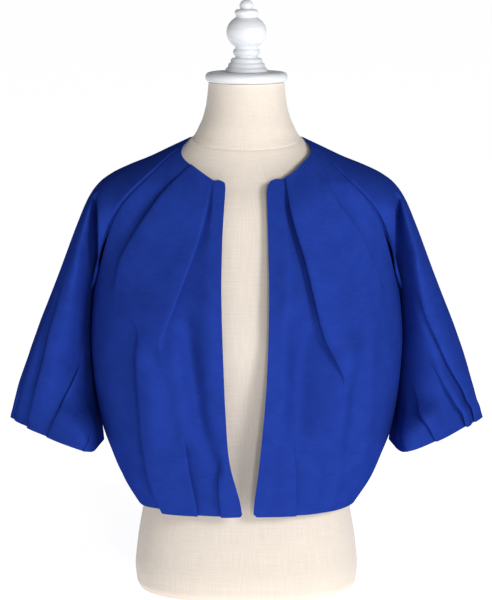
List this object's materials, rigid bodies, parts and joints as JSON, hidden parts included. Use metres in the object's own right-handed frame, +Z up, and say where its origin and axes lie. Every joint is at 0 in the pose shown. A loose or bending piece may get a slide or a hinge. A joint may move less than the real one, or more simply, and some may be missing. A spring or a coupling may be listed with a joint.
{
  "type": "cropped jacket on dress form",
  "caption": "Cropped open-front jacket with pleated neckline, raglan elbow sleeves and gathered blouson hem, shown on a linen-covered limbless dress form with a turned finial.",
  "frame": {"origin": "centre of the form's flat underside, on the surface it stands on", "axes": "+Z up, -Y the way the form faces, +X the wearer's left"},
  "size_m": [0.5723, 0.2488, 0.712],
  "materials": {
    "blue_faille": "crisp ribbed silk weave with a low soft sheen",
    "linen_cover": "plain woven natural linen",
    "white_painted_wood": "turned wood with satin white paint"
  },
  "bodies": {
    "root": {"front_left": "blue_faille", "front_right": "blue_faille", "back": "blue_faille", "sleeve_left": "blue_faille", "sleeve_right": "blue_faille", "form_torso": "linen_cover", "neck_cap": "white_painted_wood", "finial": "white_painted_wood"}
  },
  "joints": []
}
